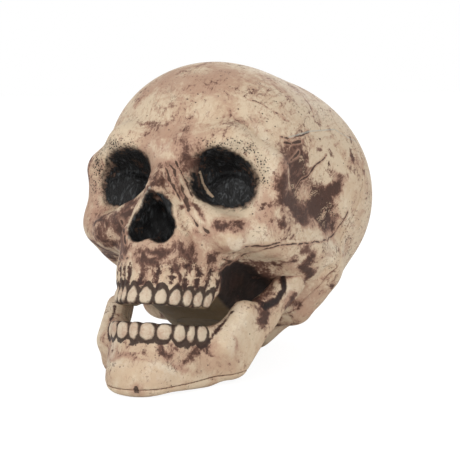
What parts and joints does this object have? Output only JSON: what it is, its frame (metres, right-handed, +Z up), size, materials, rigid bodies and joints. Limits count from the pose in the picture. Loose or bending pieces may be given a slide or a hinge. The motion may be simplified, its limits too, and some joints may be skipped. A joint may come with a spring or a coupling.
{
  "type": "skull decoration",
  "caption": "Life-size hollow plastic human skull with a hinged, slightly open lower jaw, sunken black-painted eye sockets and an aged bone finish.",
  "frame": {"origin": "on the floor under the middle of the skull's overall box", "axes": "+Z up, the face looks towards -Y, +X to the skull's left"},
  "size_m": [0.146, 0.2272, 0.1646],
  "materials": {
    "bone_plastic": "satin, cream with painted brown ageing",
    "jaw_plastic": "satin, cream with a pink-brown wash",
    "cover_plastic": "satin, pink-brown",
    "base_plastic": "dull olive grey",
    "steel": "dull zinc plating"
  },
  "bodies": {
    "cranium": {"face_shell": "bone_plastic", "rear_shell": "bone_plastic", "base_panel": "base_plastic", "base_screw_1": "steel", "base_screw_2": "steel", "base_screw_3": "steel", "base_screw_4": "steel", "hinge_pin_left": "steel", "hinge_pin_right": "steel", "hinge_washer_left": "base_plastic", "hinge_washer_right": "base_plastic"},
    "jaw": {"jaw_shell": "jaw_plastic", "jaw_cover": "cover_plastic", "jaw_screw_1": "steel", "jaw_screw_2": "steel", "jaw_screw_3": "steel"}
  },
  "joints": [
    {"name": "jaw_hinge", "type": "hinge", "parent": "cranium", "child": "jaw", "pos_m": [0, -0.00503, 0.05336], "axis": [1, 0, 0], "range_deg": [-5, 12]}
  ]
}
